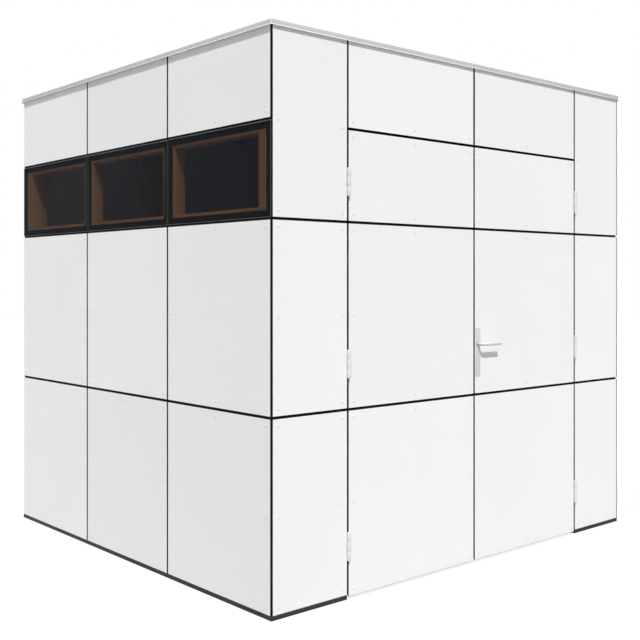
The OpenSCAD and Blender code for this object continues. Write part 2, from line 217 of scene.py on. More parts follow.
def facing(point, outward):
    """A place at a point whose Z axis runs outwards and whose X axis is level."""
    rotation = outward.to_track_quat("Z", "Y").to_matrix().to_4x4()
    return Matrix.Translation(point) @ rotation


# ---- Colours and materials ----
# Coordinates are in metres, so a scale of noise or waves is in repeats per metre.


def srgb(red, green, blue):
    """A colour from its 0 to 255 values, as the linear colour that a shader takes."""
    def linear(value):
        value /= 255
        return value / 12.92 if value <= 0.04045 else ((value + 0.055) / 1.055) ** 2.4
    return linear(red), linear(green), linear(blue), 1.0


class Finish:
    """A material with one Principled shader, and short calls to build the nodes behind it."""

    def __init__(self, name, **sockets):
        self.material = bpy.data.materials.new(name)
        self.material.use_nodes = True
        self.tree = self.material.node_tree
        self.shader = self.tree.nodes["Principled BSDF"]
        for socket, value in sockets.items():
            self.shader.inputs[socket.replace("_", " ")].default_value = value

    def node(self, kind, inputs=None, **settings):
        node = self.tree.nodes.new(kind)
        for setting, value in settings.items():
            setattr(node, setting, value)
        for socket, value in (inputs or {}).items():
            if isinstance(value, bpy.types.NodeSocket):
                self.tree.links.new(value, node.inputs[socket])
            else:
                node.inputs[socket].default_value = value
        return node

    def link(self, output, socket):
        self.tree.links.new(output, self.shader.inputs[socket])

    def place(self, attribute=None):
        """Coordinates in metres: a mesh attribute, or the object's own."""
        if attribute:
            return self.node("ShaderNodeAttribute", attribute_name=attribute).outputs["Vector"]
        return self.node("ShaderNodeTexCoord").outputs["Object"]

    def stretched(self, vector, scale):
        return self.node("ShaderNodeMapping", {"Vector": vector, "Scale": scale}).outputs[0]

    def noise(self, vector, scale, detail, roughness=0.55):
        return self.node("ShaderNodeTexNoise", {
            "Vector": vector, "Scale": scale, "Detail": detail, "Roughness": roughness,
        }).outputs[0]

    def remap(self, value, low, high, from_low=0.3, from_high=0.7):
        return self.node("ShaderNodeMapRange", {
            "Value": value, "From Min": from_low, "From Max": from_high,
            "To Min": low, "To Max": high,
        }).outputs[0]

    def mix(self, factor, first, second):
        node = self.node("ShaderNodeMix", data_type="RGBA")
        for index, value in ((0, factor), (6, first), (7, second)):
            if isinstance(value, bpy.types.NodeSocket):
                self.tree.links.new(value, node.inputs[index])
            else:
                node.inputs[index].default_value = value
        return node.outputs[2]

    def bump(self, height, distance, strength, under=None):
        inputs = {"Height": height, "Distance": distance, "Strength": strength}
        if under is not None:
            inputs["Normal"] = under
        return self.node("ShaderNodeBump", inputs).outputs[0]


def panel_face_finish():
    """White laminate: a satin face with a fine texture and a slight tone of each panel."""
    f = Finish("panel_white")
    place = f.place()
    cloud = f.remap(f.noise(place, 2.2, 3), 0.0, 1.0)
    clean, soft = srgb(243, 242, 241), srgb(239, 239, 238)
    colour = f.mix(cloud, clean, soft)
    tone = f.node("ShaderNodeAttribute", attribute_name="tone").outputs["Fac"]
    f.link(f.mix(tone, colour, srgb(236, 236, 235)), "Base Color")
    f.link(f.remap(f.noise(place, 60, 3), 0.4, 0.52), "Roughness")
    f.link(f.bump(f.noise(place, 1400, 2), 0.05 * MM, 0.35), "Normal")
    return f.material


def panel_core_finish():
    """The black core that shows at a panel's cut edges."""
    f = Finish("panel_core", Roughness=0.7, Specular_IOR_Level=0.12)
    grain = f.noise(f.place(), 700, 3)
    f.link(f.mix(grain, srgb(10, 12, 12), srgb(24, 26, 26)), "Base Color")
    f.link(f.bump(grain, 0.1 * MM, 0.5), "Normal")
    return f.material


def screw_finish(name, light, dark, gloss=0.5):
    """Coated metal with a faint mottle."""
    f = Finish(name, Roughness=0.38, Specular_IOR_Level=gloss)
    f.link(f.mix(f.noise(f.place(), 300, 2), light, dark), "Base Color")
    return f.material


def wood_finish(name, early, late, knot, ring_scale):
    """Planed softwood: rings round a far pith, fibres along the grain and a few knots."""
    f = Finish(name)
    grain = f.place("grain")
    slow = f.stretched(grain, (0.5, 4.0, 4.0))
    drift = f.node("ShaderNodeTexNoise", {"Vector": slow, "Scale": 1.6, "Detail": 2.0}).outputs[1]
    bent = f.node("ShaderNodeVectorMath", {0: drift, 1: (0.5, 0.5, 0.5)}, operation="SUBTRACT")
    bent = f.node("ShaderNodeVectorMath", {0: bent.outputs[0], "Scale": 0.05}, operation="SCALE")
    moved = f.node("ShaderNodeVectorMath", {0: grain, 1: bent.outputs[0]}, operation="ADD")
    rings = f.node("ShaderNodeTexWave", {
        "Vector": moved.outputs[0], "Scale": ring_scale, "Distortion": 1.4,
        "Detail": 2.0, "Detail Scale": 1.2,
    }, wave_type="RINGS", rings_direction="X", wave_profile="SAW").outputs[1]
    colour = f.mix(f.remap(rings, 0.0, 0.8, 0.25, 1.0), early, late)
    fibre = f.noise(f.stretched(grain, (0.04, 1.0, 1.0)), 900, 3)
    colour = f.mix(f.remap(fibre, 0.0, 0.35), colour, late)
    spots = f.node("ShaderNodeTexVoronoi", {
        "Vector": f.stretched(grain, (0.6, 1.0, 1.0)), "Scale": 5.5}).outputs["Distance"]
    colour = f.mix(f.remap(spots, 1.0, 0.0, 0.03, 0.085), colour, knot)
    f.link(colour, "Base Color")
    f.link(f.remap(fibre, 0.5, 0.68), "Roughness")
    f.link(f.bump(fibre, 0.25 * MM, 0.6, under=f.bump(rings, 0.2 * MM, 0.3)), "Normal")
    return f.material


def board_finish():
    """Plywood: a broad, uneven veneer figure and its fibre."""
    f = Finish("plywood")
    place = f.place()
    broad = f.stretched(place, (0.35, 1.6, 1.0))
    figure = f.remap(f.noise(broad, 3.0, 5, 0.6), 0.0, 1.0)
    bands = f.node("ShaderNodeTexWave", {
        "Vector": broad, "Scale": 2.2, "Distortion": 16.0, "Detail": 3.0, "Detail Scale": 0.5,
    }, bands_direction="Y").outputs[1]
    fibre = f.noise(f.stretched(place, (0.05, 1.0, 1.0)), 600, 3)
    colour = f.mix(figure, srgb(206, 172, 126), srgb(186, 148, 102))
    colour = f.mix(f.remap(bands, 0.0, 0.3, 0.0, 1.0), colour, srgb(172, 132, 88))
    colour = f.mix(f.remap(fibre, 0.0, 0.4), colour, srgb(160, 120, 78))
    f.link(colour, "Base Color")
    f.link(f.remap(fibre, 0.55, 0.72), "Roughness")
    f.link(f.bump(fibre, 0.2 * MM, 0.5), "Normal")
    return f.material


def metal_finish(name, light, dark, metallic, roughness, along, grain_depth, gloss=0.5):
    """Metal or painted metal with a fine grain along one axis."""
    f = Finish(name, Metallic=metallic, Specular_IOR_Level=gloss)
    place = f.place()
    stretch = tuple(0.03 if i == along else 1.0 for i in range(3))
    streak = f.noise(f.stretched(place, stretch), 1500, 2)
    cloud = f.noise(place, 9, 3)
    colour = f.mix(f.remap(cloud, 0.0, 0.5), light, dark)
    f.link(f.mix(f.remap(streak, 0.0, 0.3), colour, dark), "Base Color")
    f.link(f.remap(streak, roughness - 0.05, roughness + 0.07), "Roughness")
    f.link(f.bump(streak, grain_depth, 0.4), "Normal")
    return f.material


def rubber_finish(name, dark, light, grain, roughness, gloss=0.5):
    """Rubber, tape or membrane with a fine grain and a thin film of dust."""
    f = Finish(name, Specular_IOR_Level=gloss)
    place = f.place()
    fine = f.noise(place, grain, 4)
    dust = f.remap(f.noise(place, 2.6, 5, 0.62), 0.0, 0.8, 0.42, 0.66)
    f.link(f.mix(dust, f.mix(fine, dark, light), light), "Base Color")
    f.link(f.remap(fine, roughness, roughness + 0.12), "Roughness")
    f.link(f.bump(fine, 0.3 * MM, 0.6), "Normal")
    return f.material


def glass_finish():
    """Dark tinted glass that lets the frame behind it show, and hardly mirrors the stage."""
    f = Finish("tinted_glass", IOR=1.06, Roughness=0.02, Alpha=0.41)
    streak = f.noise(f.stretched(f.place(), (1.0, 1.0, 0.4)), 3.0, 3)
    f.link(f.mix(streak, srgb(36, 40, 46), srgb(42, 46, 51)), "Base Color")
    return f.material


def glass_edge_finish(name, dark, light):
    """The ground edge of a pane, in colours that carry painted light and shade."""
    f = Finish(name, Roughness=0.45)
    grind = f.noise(f.place(), 900, 3)
    f.link(f.mix(grind, dark, light), "Base Color")
    f.link(f.bump(grind, 0.1 * MM, 0.5), "Normal")
    return f.material


WHITE = panel_face_finish()
CORE = panel_core_finish()
TIMBER = wood_finish("timber", srgb(208, 154, 92), srgb(160, 102, 52), srgb(88, 50, 26), 40)
PLYWOOD = board_finish()
TRIM = metal_finish("trim_aluminium", srgb(186, 190, 192), srgb(171, 175, 177), 0.08, 0.5, 0,
                    0.05 * MM, 0.15)
# The lip's paler colour is a painted highlight. It is the same sheet as the trim, painted as if
# lit more by the sun.
TRIM_LIP_PAINTED_HIGHLIGHT = metal_finish("trim_lip_painted_highlight", srgb(214, 214, 211), srgb(202, 202, 199), 0.08, 0.5, 0,
                        0.05 * MM, 0.15)
# Paler than the trim: a painted highlight along each corner of the trim.
TRIM_CORNER_PAINTED_HIGHLIGHT = metal_finish("trim_corner", srgb(226, 228, 229), srgb(210, 212, 214), 0.1, 0.4, 2,
                           0.05 * MM)
HINGE = metal_finish("hinge_coating", srgb(218, 219, 219), srgb(208, 209, 210), 0.0, 0.4, 2,
                     0.05 * MM)
WASHER = metal_finish("hinge_washer", srgb(214, 215, 216), srgb(202, 203, 204), 0.0, 0.5, 2,
                      0.05 * MM)
STEEL = metal_finish("satin_steel", srgb(214, 215, 218), srgb(196, 197, 200), 0.25, 0.34, 0,
                     0.08 * MM)
TAPE = rubber_finish("black_tape", srgb(9, 9, 10), srgb(22, 22, 23), 900, 0.7, 0.12)
SEAL = rubber_finish("rubber_seal", srgb(12, 12, 13), srgb(26, 26, 27), 1200, 0.5, 0.2)
STRIP = rubber_finish("base_strip", srgb(30, 31, 32), srgb(50, 50, 51), 500, 0.6, 0.25)
ROOF = rubber_finish("roof_membrane", srgb(52, 54, 56), srgb(92, 93, 93), 350, 0.72)
GLASS = glass_finish()
# Pane edges: the green tint is the glass's own. The upright edges are darkened as painted shade,
# and the top and foot edges are made pale as painted light.
GLASS_EDGE_PAINTED_SHADE = glass_edge_finish("glass_edge_painted_shade", srgb(34, 42, 36), srgb(50, 58, 50))
GLASS_EDGE_PAINTED_LIGHT = glass_edge_finish("glass_edge_painted_light", srgb(128, 136, 134), srgb(152, 158, 156))
SCREW_WHITE = screw_finish("white_screw", srgb(236, 236, 235), srgb(226, 226, 226))
SCREW_BLACK = screw_finish("black_screw", srgb(4, 4, 5), srgb(10, 10, 11), 0.1)
# Grey for the recess of a white screw: painted shade in the recess.
RECESS_PAINTED_SHADE = screw_finish("screw_recess_painted_shade", srgb(204, 204, 205), srgb(186, 186, 188))
# Near-black painted shade: for the recesses of screws, for holes and slots, and for the ring under
# the lever's neck where the neck's shadow falls.
DARK_PAINTED_SHADE = screw_finish("dark_recess_painted_shade", srgb(14, 14, 15), srgb(24, 24, 26))

# ---- Cladding ----

PANEL_CHAMFER = 1.3 * MM
PANEL_NODES = {
    "front_panels": FRONT, "back_panels": BACK, "left_panels": LEFT, "right_panels": RIGHT,
    "left_door_panels": FRONT, "right_door_panels": FRONT,
}


def thin_axis(low, high):
    """The axis across which a box is thinnest."""
    size = high - low
    return min(range(3), key=lambda i: size[i])


def clad(node):
    """Laminate panels: white faces on a black core that shows at their cut edges."""
    bm = bmesh.new()
    tone = bm.verts.layers.float.new("tone")
    for low, high in solids(node):
        axis = thin_axis(low, high)
        shade = rng.random()
        for face in add_box(bm, low, high, PANEL_CHAMFER):
            face.normal_update()
            face.material_index = 0 if abs(face.normal[axis]) > 0.9 else 1
            for vert in face.verts:
                vert[tone] = shade
    add_piece(f"{node}_laminate", bm, body_of(node), [WHITE, CORE], [node])


for name in PANEL_NODES:
    clad(name)

# ---- Panel screws ----

SCREW_RADIUS = 6 * MM
SCREW_HEIGHT = 1.9 * MM
SCREW_SEAT = 0.2 * MM
SCREW_INSET = 29 * MM
LONG_EDGE = 600 * MM
LOBES = 6
SCREW_SIDES = 24
# Rings of a screw head from its rim to the floor of its recess: radius and height as shares
# of the head's own, and the depth of the recess's lobes.
SCREW_PROFILE = [(1, 0.25, 0), (0.9, 0.62, 0), (0.68, 0.88, 0), (0.36, 1, 0.14),
                 (0.33, 0.2, 0.14)]


def add_screw(bm, place, radius=SCREW_RADIUS, height=SCREW_HEIGHT):
    """A low domed head with a six-lobed recess."""
    def ring(reach, level, lobe=0.0):
        points = []
        for i in range(SCREW_SIDES):
            turn = 2 * math.pi * i / SCREW_SIDES
            r = reach * radius * (1 + lobe * math.cos(LOBES * turn))
            points.append(place @ Vector((r * math.cos(turn), r * math.sin(turn), level)))
        return points

    faces = add_rings(bm, [ring(1, -SCREW_SEAT)] + [
        ring(reach, level * height, lobe) for reach, level, lobe in SCREW_PROFILE])
    # The last ring of faces and the face that closes it are the recess, which takes a darker
    # colour as painted shade.
    for face in faces[-SCREW_SIDES - 2:-2] + faces[-1:]:
        face.material_index = 1


def screw_points(low, high, outward):
    """Where a panel is screwed: its corners, and the middle of each long edge."""
    across = Vector((abs(outward.y), abs(outward.x), 0))
    width, height = (high - low).dot(across), high.z - low.z
    face = high if sum(outward) > 0 else low
    along = [SCREW_INSET, width - SCREW_INSET]
    up = [SCREW_INSET, height - SCREW_INSET]
    spots = [(a, u) for a in along for u in up]
    if width > LONG_EDGE:
        spots += [(width / 2, u) for u in up]
    if height > LONG_EDGE:
        spots += [(a, height / 2) for a in along]
    for a, u in spots:
        point = low + across * a + Vector((0, 0, u))
        for i in range(3):
            if outward[i]:
                point[i] = face[i]
        yield point


def screw_on(node, outward, material):
    """Screws in every panel or pane of a node."""
    bm = bmesh.new()
    for low, high in solids(node):
        for point in screw_points(low, high, outward):
            spin = Matrix.Rotation(rng.uniform(0, math.tau), 4, "Z")
            add_screw(bm, facing(point, outward) @ spin)
    recess = RECESS_PAINTED_SHADE if material == SCREW_WHITE else DARK_PAINTED_SHADE
    add_piece(f"{node}_screws", bm, body_of(node), [material, recess],
              smooth_angle=SMOOTH_METAL)


for name, outward in PANEL_NODES.items():
    screw_on(name, outward, SCREW_WHITE)
screw_on("window_panes", LEFT, SCREW_BLACK)

# ---- Panes ----

PANE_ARRIS = 1.2 * MM


def glaze():
    """Tinted panes with ground edges: the upright edges are painted dark as painted shade, and the
    top and foot edges are painted paler as painted light.
    """
    bm = bmesh.new()
    for low, high in solids("window_panes"):
        for face in add_box(bm, low, high, PANE_ARRIS):
            face.normal_update()
            # Top and foot edges take the painted-light colour; upright edges take the
            # painted-shade colour.
            level = 2 if abs(face.normal.z) > 0.3 else 1
            face.material_index = 0 if abs(face.normal.x) > 0.9 else level
    add_piece("tinted_panes", bm, body_of("window_panes"), [GLASS, GLASS_EDGE_PAINTED_SHADE, GLASS_EDGE_PAINTED_LIGHT],
              ["window_panes"])


glaze()

# ---- Timber ----

TIMBER_EDGE = 2 * MM
PITH_REACH = (0.05, 0.12)
TIMBER_NODES = [
    "corner_posts", "wall_posts", "bottom_rails", "wall_rails", "top_rails",
    "jamb_stops", "head_stop", "threshold", "floor_bearers", "roof_joists",
    "left_door_stiles", "left_door_rails", "right_door_stiles", "right_door_rails",
]


def outer_planes(node, axes):
    """The outer sides of a node's box across some axes, as pairs of axis and position."""
    return [(axis, corner[axis]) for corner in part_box(node) for axis in axes]


# Faces that the gaps round the door leaves would show carry black tape.
LEAF_NODES = {f"{side}_door_{part}": f"{side}_door_stiles"
              for side in ("left", "right") for part in ("stiles", "rails")}
DOORWAY_PLANES = outer_planes("jamb_stops", [0]) + [
    (1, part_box("head_stop")[0].y), (2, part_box("head_stop")[1].z),
]
DOORWAY_NODES = ["wall_posts", "wall_rails", "top_rails", "jamb_stops", "head_stop"]


def taped_planes(node):
    """The planes of a node's timbers that carry tape, as pairs of axis and position."""
    if node in LEAF_NODES:
        return outer_planes(LEAF_NODES[node], [0, 2])
    if node == "threshold":
        return [(1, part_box(node)[0].y)]
    return DOORWAY_PLANES if node in DOORWAY_NODES else []


def saw(node):
    """Timbers with rounded edges, each cut from its own stretch of wood along its length."""
    planes = taped_planes(node)
    bm = bmesh.new()
    grain = bm.verts.layers.float_vector.new("grain")
    for low, high in solids(node):
        size = high - low
        length, *sides = sorted(range(3), key=lambda i: -size[i])
        start = Vector((rng.uniform(0, 40),
                        rng.uniform(*PITH_REACH) * rng.choice((-1, 1)),
                        rng.uniform(*PITH_REACH)))
        middle = (low + high) / 2
        for face in add_box(bm, low, high, TIMBER_EDGE, 2):
            centre = face.calc_center_median()
            taped = any(abs(centre[axis] - at) < TIMBER_EDGE for axis, at in planes)
            face.material_index = 1 if taped else 0
            for vert in face.verts:
                at = vert.co - middle
                vert[grain] = start + Vector((at[length], at[sides[0]], at[sides[1]]))
    add_piece(f"{node}_timber", bm, body_of(node), [TIMBER, TAPE], [node],
              smooth_angle=SMOOTH_EDGE)


for name in TIMBER_NODES:
    saw(name)

# ---- Tape, strips, trim, boards and levers ----

STRIP_EDGE = 0.8 * MM
TRIM_EDGE = 0.45 * MM
DECK_EDGE = 1 * MM
TAPE_EDGE = 0.2 * MM
FLAT_TURN = math.radians(1)
SHARP_TURN = math.radians(20)


def finish_node(node, material):
    """Gives a CAD node its finish and leaves its shape as it is."""
    piece = frame["nodes"][node]
    piece.material_slots[0].link = "OBJECT"
    piece.material_slots[0].material = material


def rounded(node, bevel):
    """The CAD shape with its sharp edges rounded."""
    bm = welded(node)
    bmesh.ops.dissolve_limit(bm, angle_limit=FLAT_TURN, verts=bm.verts, edges=bm.edges)
    sharp = [e for e in bm.edges if e.calc_face_angle(0) > SHARP_TURN]
    bmesh.ops.bevel(bm, geom=sharp, offset=bevel, segments=2, profile=0.5,
                    affect="EDGES", clamp_overlap=True)
    return bm


def trim_shape():
    """Position of the trim's upright face and the height where it flares into its lip."""
    points = [v.co for v in frame["nodes"]["front_trim"].data.vertices]
    top = max(p.z for p in points)
    face = max(p.x for p in points if p.z > top - WELD)
    return face, min(p.z for p in points if abs(p.x - face) < WELD)


def fold(node):
    """Folded trim whose lip along its foot is painted paler than the rest of the sheet: a painted
    highlight where the sun catches the lip's slope.
    """
    _, foot = trim_shape()
    bm = rounded(node, TRIM_EDGE)
    for face in bm.faces:
        face.material_index = 1 if face.calc_center_median().z < foot else 0
    add_piece(f"{node}_sheet", bm, body_of(node), [TRIM, TRIM_LIP_PAINTED_HIGHLIGHT], [node],
              smooth_angle=SMOOTH_EDGE)


for name in ("post_tape", "rail_tape", "left_door_tape", "right_door_tape"):
    finish_node(name, TAPE)
finish_node("floor_deck", PLYWOOD)
for name in ("front_back_base_strips", "side_base_strips"):
    add_piece(f"{name}_profile", rounded(name, STRIP_EDGE), body_of(name), [STRIP],
              [name], smooth_angle=SMOOTH_EDGE)
for name in ("front_trim", "back_trim", "left_trim", "right_trim"):
    fold(name)
for name in ("outer_lever", "inner_lever"):
    finish_node(name, STEEL)


def lay_roof_deck():
    """The deck under the membrane, its edges sealed in black behind the panels' joints."""
    bm = bmesh.new()
    for face in add_box(bm, *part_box("roof_deck"), DECK_EDGE):
        face.normal_update()
        face.material_index = 0 if abs(face.normal.z) > 0.9 else 1
    add_piece("roof_deck_board", bm, "shed", [PLYWOOD, TAPE], ["roof_deck"])


def tape_header():
    """Tape behind the two upright joints beside the panels over the doorway."""
    low, high = next(b for b in solids("post_tape") if b[0].x < 0 < b[1].x)
    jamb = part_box("head_stop")[1].x
    bm = bmesh.new()
    for side in (-1, 1):
        x0, x1 = sorted((side * jamb, side * (jamb - high.x)))
        add_box(bm, Vector((x0, low.y, low.z)), Vector((x1, high.y, high.z)), TAPE_EDGE)
    add_piece("header_tapes", bm, "shed", [TAPE])


lay_roof_deck()
tape_header()

# ---- Hinges ----

BARREL_SIDES = 40
HINGE_CHAMFER = 0.4 * MM
WASHER_INSET = 0.4 * MM
# Distances of a web's two faces from the hinge's axis, across the gap beside its panel.
WEB_SPAN = (2.2 * MM, 3.8 * MM)
WEB_DEPTH = 5 * MM
WEB_EDGE = 0.2 * MM


def add_barrel(bm, centre, radius, low, high, material=0):
    """A round part of a hinge with broken edges."""
    c = min(HINGE_CHAMFER, (high - low) / 3)
    profile = [(radius - c, low), (radius - 0.3 * c, low + 0.3 * c), (radius, low + c),
               (radius, high - c), (radius - 0.3 * c, high - 0.3 * c), (radius - c, high)]
    add_lathe(bm, Matrix.Translation(centre), profile, BARREL_SIDES, material)


def add_web(bm, axis, side, wall_y, height, barrels):
    """The flat leaf of a hinge, in the gap beside its panel, with a neck to each barrel."""
    x0, x1 = sorted(axis.x + side * reach for reach in WEB_SPAN)
    add_box(bm, Vector((x0, wall_y, height[0])),
            Vector((x1, wall_y + WEB_DEPTH, height[1])), WEB_EDGE)
    for low, high in barrels:
        add_box(bm, Vector((x0, (axis.y + wall_y) / 2, low + HINGE_CHAMFER)),
                Vector((x1, wall_y + WEB_EDGE, high - HINGE_CHAMFER)), WEB_EDGE)


def upwards(boxes):
    return sorted(boxes, key=lambda box: box[0].z)


def hang(side_joint, moving_node, side):
    """Both halves of one door's hinges: barrels, webs and washers."""
    axis = Vector(joint(side_joint)["pos_m"])
    centre = Vector((axis.x, axis.y, 0))
    fixed = upwards(b for b in solids("hinge_brackets") if (b[0].x + b[1].x) * side > 0)
    still, swing = bmesh.new(), bmesh.new()
    for (low, high), (mid_low, mid_high) in zip(fixed, upwards(solids(moving_node))):
        radius = axis.y - low.y
        length = mid_high.z - mid_low.z
        ends = [(low.z, low.z + length), (high.z - length, high.z)]
        middle = [(mid_low.z, mid_high.z)]
        for z0, z1 in ends:
            add_barrel(still, centre, radius, z0, z1)
        add_barrel(swing, centre, radius, mid_low.z, mid_high.z)
        add_web(still, axis, side, high.y, (low.z, high.z), ends)
        add_web(swing, axis, -side, high.y, (low.z, high.z), middle)
        for z0, z1 in ((low.z + length, mid_low.z), (mid_high.z, high.z - length)):
            add_barrel(still, centre, radius - WASHER_INSET, z0, z1, 1)
    return still, swing


for side_joint, moving_node, side, label in (
    ("left_door_swing", "left_door_hinges", -1, "left"),
    ("right_door_swing", "right_door_hinges", 1, "right"),
):
    still, swing = hang(side_joint, moving_node, side)
    replaced = ["hinge_brackets"] if label == "left" else []
    add_piece(f"{label}_hinge_brackets", still, "shed", [HINGE, WASHER], replaced,
              smooth_angle=SMOOTH_METAL)
    add_piece(f"{label}_hinge_leaves", swing, body_of(moving_node), [HINGE],
              [moving_node], smooth_angle=SMOOTH_METAL)

# ---- Door handle ----

PLATE_EDGE = 0.8 * MM
RING_PLAY = 0.3 * MM
RING_WIDTH = 1.8 * MM
RING_HEIGHT = 0.9 * MM
RING_CHAMFER = 0.3 * MM
RING_SEAT = 0.2 * MM
FIXING_INSET = 9 * MM
FIXING_RADIUS = 3.4 * MM
FIXING_HEIGHT = 0.8 * MM


def furnish(node, outward):
    """A handle plate with the bearing ring of its lever and its two fixing screws. The ring is
    near-black: partly a real dark ring, and partly painted shade for the neck's shadow on the
    plate. The screws' recesses are painted shade.
    """
    low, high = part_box(node)
    pivot = joint("lever_turn")["pos_m"]
    neck_low, neck_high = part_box("outer_lever" if outward == FRONT else "inner_lever")
    neck = (neck_high.z - neck_low.z) / 2
    face_y = low.y if outward == FRONT else high.y
    centre_x = (low.x + high.x) / 2
    bm = bmesh.new()
    add_box(bm, low, high, PLATE_EDGE, 2)
    inner, outer = neck + RING_PLAY, neck + RING_WIDTH
    ring = [(outer, -RING_SEAT), (outer, 0.6 * RING_HEIGHT),
            (outer - RING_CHAMFER, RING_HEIGHT), (inner, RING_HEIGHT), (inner, RING_SEAT)]
    add_lathe(bm, facing(Vector((pivot[0], face_y, pivot[2])), outward), ring, BARREL_SIDES, 1)
    for z in (low.z + FIXING_INSET, high.z - FIXING_INSET):
        add_screw(bm, facing(Vector((centre_x, face_y, z)), outward), FIXING_RADIUS,
                  FIXING_HEIGHT)
    add_piece(f"{node}_furniture", bm, body_of(node), [STEEL, DARK_PAINTED_SHADE], [node],
              smooth_angle=SMOOTH_METAL)


furnish("outer_plate", FRONT)
furnish("inner_plate", BACK)

# ---- Lock, bolts and seals ----

# Plates on the meeting edges of the leaves: width and length.
LOCK_PLATE = (20 * MM, 240 * MM)
BOLT_PLATE = (16 * MM, 170 * MM)
EDGE_PLATE_THICKNESS = 1.6 * MM
EDGE_PLATE_BEVEL = 0.4 * MM
EDGE_SCREW_INSET = 8 * MM
EDGE_SCREW_HEIGHT = 0.6 * MM
# Distance from the spindle down to the middle of the lock plate.
LOCK_DROP = 30 * MM
# Blocks on those plates: thickness along X, width and height. Shifts are along X, and take
# the latch and the knobs out of their edges.
LATCH = (6 * MM, 11 * MM, 18 * MM)
LATCH_SHIFT = -2 * MM
LATCH_BEVEL = 1.2 * MM
# The latch hole and the bolt slots are thin near-black sheets: painted shade where an open hole or
# slot would be.
LATCH_HOLE_SHADE_SHEET = (0.3 * MM, 13 * MM, 22 * MM)
BOLT_SLOT_SHADE_SHEET = (0.3 * MM, 8 * MM, 60 * MM)
SLOT_BEVEL = 0.1 * MM
BOLT_KNOB = (1.4 * MM, 7 * MM, 22 * MM)
KNOB_SHIFT = 0.8 * MM
KNOB_BEVEL = 0.5 * MM
BOLT_END_GAP = 12 * MM
SEAL_WIDTH = 12 * MM
SEAL_CLEARANCE = 1.5 * MM
SEAL_STEPS = 8


def add_edge_plate(bm, stile, side, height, size):
    """A thin plate on the meeting edge of a leaf's stile; returns the middle of its face."""
    low, high = stile
    edge_x = low.x if side < 0 else high.x
    face_x = edge_x + side * EDGE_PLATE_THICKNESS
    width, length = size
    middle = Vector((face_x, (low.y + high.y) / 2, height))
    x0, x1 = sorted((edge_x, face_x))
    add_box(bm, Vector((x0, middle.y - width / 2, height - length / 2)),
            Vector((x1, middle.y + width / 2, height + length / 2)), EDGE_PLATE_BEVEL, 2)
    for end in (-1, 1):
        point = middle + Vector((0, 0, end * (length / 2 - EDGE_SCREW_INSET)))
        add_screw(bm, facing(point, Vector((side, 0, 0))), FIXING_RADIUS, EDGE_SCREW_HEIGHT)
    return middle


def add_block(bm, middle, size, bevel, material=0):
    """A small rounded block round a middle point."""
    half = Vector(size) / 2
    for face in add_box(bm, middle - half, middle + half, bevel, 2):
        face.material_index = material


def fit_lock():
    """Lock plate and latch on the leaf with the handle; strike plate and bolts on the other."""
    pivot_z = joint("lever_turn")["pos_m"][2]
    height = pivot_z - LOCK_DROP
    active = min(solids("right_door_stiles"), key=lambda b: b[0].x)
    passive = max(solids("left_door_stiles"), key=lambda b: b[1].x)
    bm = bmesh.new()
    face = add_edge_plate(bm, active, -1, height, LOCK_PLATE)
    add_block(bm, face + Vector((LATCH_SHIFT, 0, pivot_z - face.z)), LATCH, LATCH_BEVEL)
    add_piece("lock_plate", bm, "right_door", [STEEL, DARK_PAINTED_SHADE], smooth_angle=SMOOTH_METAL)
    bm = bmesh.new()
    face = add_edge_plate(bm, passive, 1, height, LOCK_PLATE)
    add_block(bm, Vector((face.x, face.y, pivot_z)), LATCH_HOLE_SHADE_SHEET, SLOT_BEVEL, 1)
    reach = BOLT_END_GAP + BOLT_PLATE[1] / 2
    for height in (passive[0].z + reach, passive[1].z - reach):
        face = add_edge_plate(bm, passive, 1, height, BOLT_PLATE)
        add_block(bm, face, BOLT_SLOT_SHADE_SHEET, SLOT_BEVEL, 1)
        add_block(bm, face + Vector((KNOB_SHIFT, 0, 0)), BOLT_KNOB, KNOB_BEVEL)
    add_piece("strike_plate_and_bolts", bm, "left_door", [STEEL, DARK_PAINTED_SHADE],
              smooth_angle=SMOOTH_METAL)


def fit_seals():
    """Hollow rubber seals on the door stops, just clear of the closed leaves."""
    stops = solids("jamb_stops")
    head_low, head_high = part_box("head_stop")
    reach = stops[0][0].y - solids("left_door_stiles")[0][1].y - SEAL_CLEARANCE
    outline = []
    for i in range(SEAL_STEPS + 1):
        turn = math.pi * i / SEAL_STEPS
        outline.append((-SEAL_WIDTH / 2 * math.cos(turn), reach * math.sin(turn)))
    bm = bmesh.new()
    for low, high in stops:
        x = (low.x + high.x) / 2
        add_bar(bm, outline, Vector((x, low.y, low.z)), Vector((x, low.y, high.z)))
    z = (head_low.z + head_high.z) / 2
    add_bar(bm, outline, Vector((head_low.x, head_low.y, z)), Vector((head_high.x, head_low.y, z)))
    bmesh.ops.recalc_face_normals(bm, faces=bm.faces)
    add_piece("door_seals", bm, "shed", [SEAL], smooth_angle=SMOOTH_METAL)


fit_lock()
fit_seals()

# ---- Trim corners and roof sheets ----

CORNER_RADIUS = 3 * MM
CORNER_PROUD = 0.8 * MM
CORNER_SIDES = 20
CORNER_OVERLAP = 0.5 * MM
# The domed top of a corner cover: its radius as a share, and its depth below the trim's top.
CORNER_DOME = [(1, 1.0 * MM), (0.8, 0.4 * MM), (0.4, 0.2 * MM)]
SHEET_COUNT = 3
SHEET_LAP = 90 * MM
SHEET_STEP = 0.5 * MM
SHEET_EDGE = 0.3 * MM


